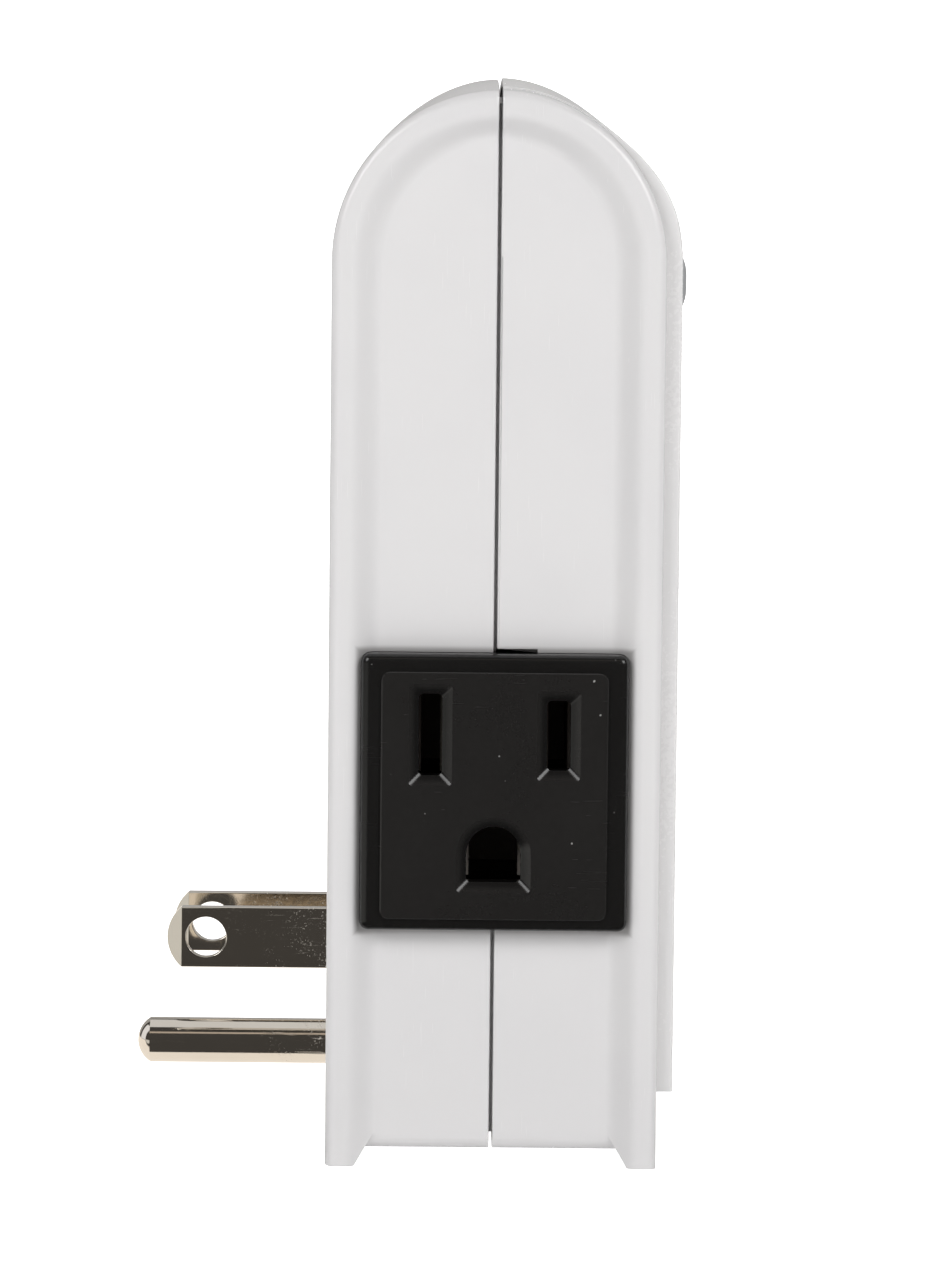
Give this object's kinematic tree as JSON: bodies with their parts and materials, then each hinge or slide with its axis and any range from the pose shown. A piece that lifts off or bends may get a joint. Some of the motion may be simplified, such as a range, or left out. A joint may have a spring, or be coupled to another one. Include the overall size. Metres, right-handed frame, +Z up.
{
  "type": "plug-in power meter",
  "caption": "Plug-in electricity meter: arched white case, blades and ground pin behind, three-hole outlet in the side, display and row of push keys in front.",
  "frame": {"origin": "on the flat rear face, midway between the two blades", "axes": "+Z up along the case, +Y out of the rear face along the blades, -Y out of the display, -X out of the outlet"},
  "size_m": [0.063, 0.056, 0.1088],
  "materials": {
    "case_white": "smooth moulded, semi-gloss",
    "key_grey": "smooth moulded, satin",
    "outlet_black": "moulded, semi-gloss with fine scuffs",
    "clear_lens": "polished clear acrylic",
    "display_glass": "reflective liquid crystal",
    "part_black": "moulded epoxy",
    "switch_cream": "moulded, satin",
    "connector_rubber": "silicone",
    "board_green": "solder mask over glass laminate",
    "nickel": "bright nickel plate",
    "brass": "stamped strip",
    "shunt_alloy": "copper manganese strip",
    "film_yellow": "moulded box",
    "coating_blue": "dipped epoxy",
    "screw_steel": "zinc plated",
    "label_silver": "printed film, left blank"
  },
  "bodies": {
    "case": {"front_shell": "case_white", "rear_shell": "case_white", "front_cover": "case_white", "outlet_housing": "outlet_black", "outlet_back_cap": "outlet_black", "prong_base": "outlet_black", "lcd_lens": "clear_lens", "lcd_glass": "display_glass", "lcd_frame": "part_black", "display_chip": "part_black", "metering_chip": "part_black", "electrolytic_capacitor": "part_black", "switch_housing_1": "part_black", "switch_housing_2": "part_black", "switch_housing_3": "part_black", "switch_housing_4": "part_black", "ribbon_cable": "switch_cream", "lcd_connector": "connector_rubber", "display_board": "board_green", "meter_board": "board_green", "neutral_blade": "nickel", "hot_blade": "nickel", "ground_pin": "nickel", "neutral_contact": "brass", "hot_contact": "brass", "ground_contact": "brass", "neutral_busbar": "brass", "hot_busbar": "brass", "ground_strap": "brass", "current_shunt": "shunt_alloy", "film_capacitor": "film_yellow", "varistor": "coating_blue", "case_screw_1": "screw_steel", "case_screw_2": "screw_steel", "case_screw_3": "screw_steel", "case_screw_4": "screw_steel", "board_screw_1": "screw_steel", "board_screw_2": "screw_steel", "rear_label": "label_silver"},
    "key_1": {"key_cap_1": "key_grey", "switch_plunger_1": "switch_cream"},
    "key_2": {"key_cap_2": "key_grey", "switch_plunger_2": "switch_cream"},
    "key_3": {"key_cap_3": "key_grey", "switch_plunger_3": "switch_cream"},
    "key_4": {"key_cap_4": "key_grey", "switch_plunger_4": "switch_cream"}
  },
  "joints": [
    {"name": "key_1_press", "type": "slide", "parent": "case", "child": "key_1", "axis": [0, 1, 0], "range_m": [0, 0.0008], "stiffness_N_per_m": 600},
    {"name": "key_2_press", "type": "slide", "parent": "case", "child": "key_2", "axis": [0, 1, 0], "range_m": [0, 0.0008], "stiffness_N_per_m": 600},
    {"name": "key_3_press", "type": "slide", "parent": "case", "child": "key_3", "axis": [0, 1, 0], "range_m": [0, 0.0008], "stiffness_N_per_m": 600},
    {"name": "key_4_press", "type": "slide", "parent": "case", "child": "key_4", "axis": [0, 1, 0], "range_m": [0, 0.0008], "stiffness_N_per_m": 600}
  ]
}
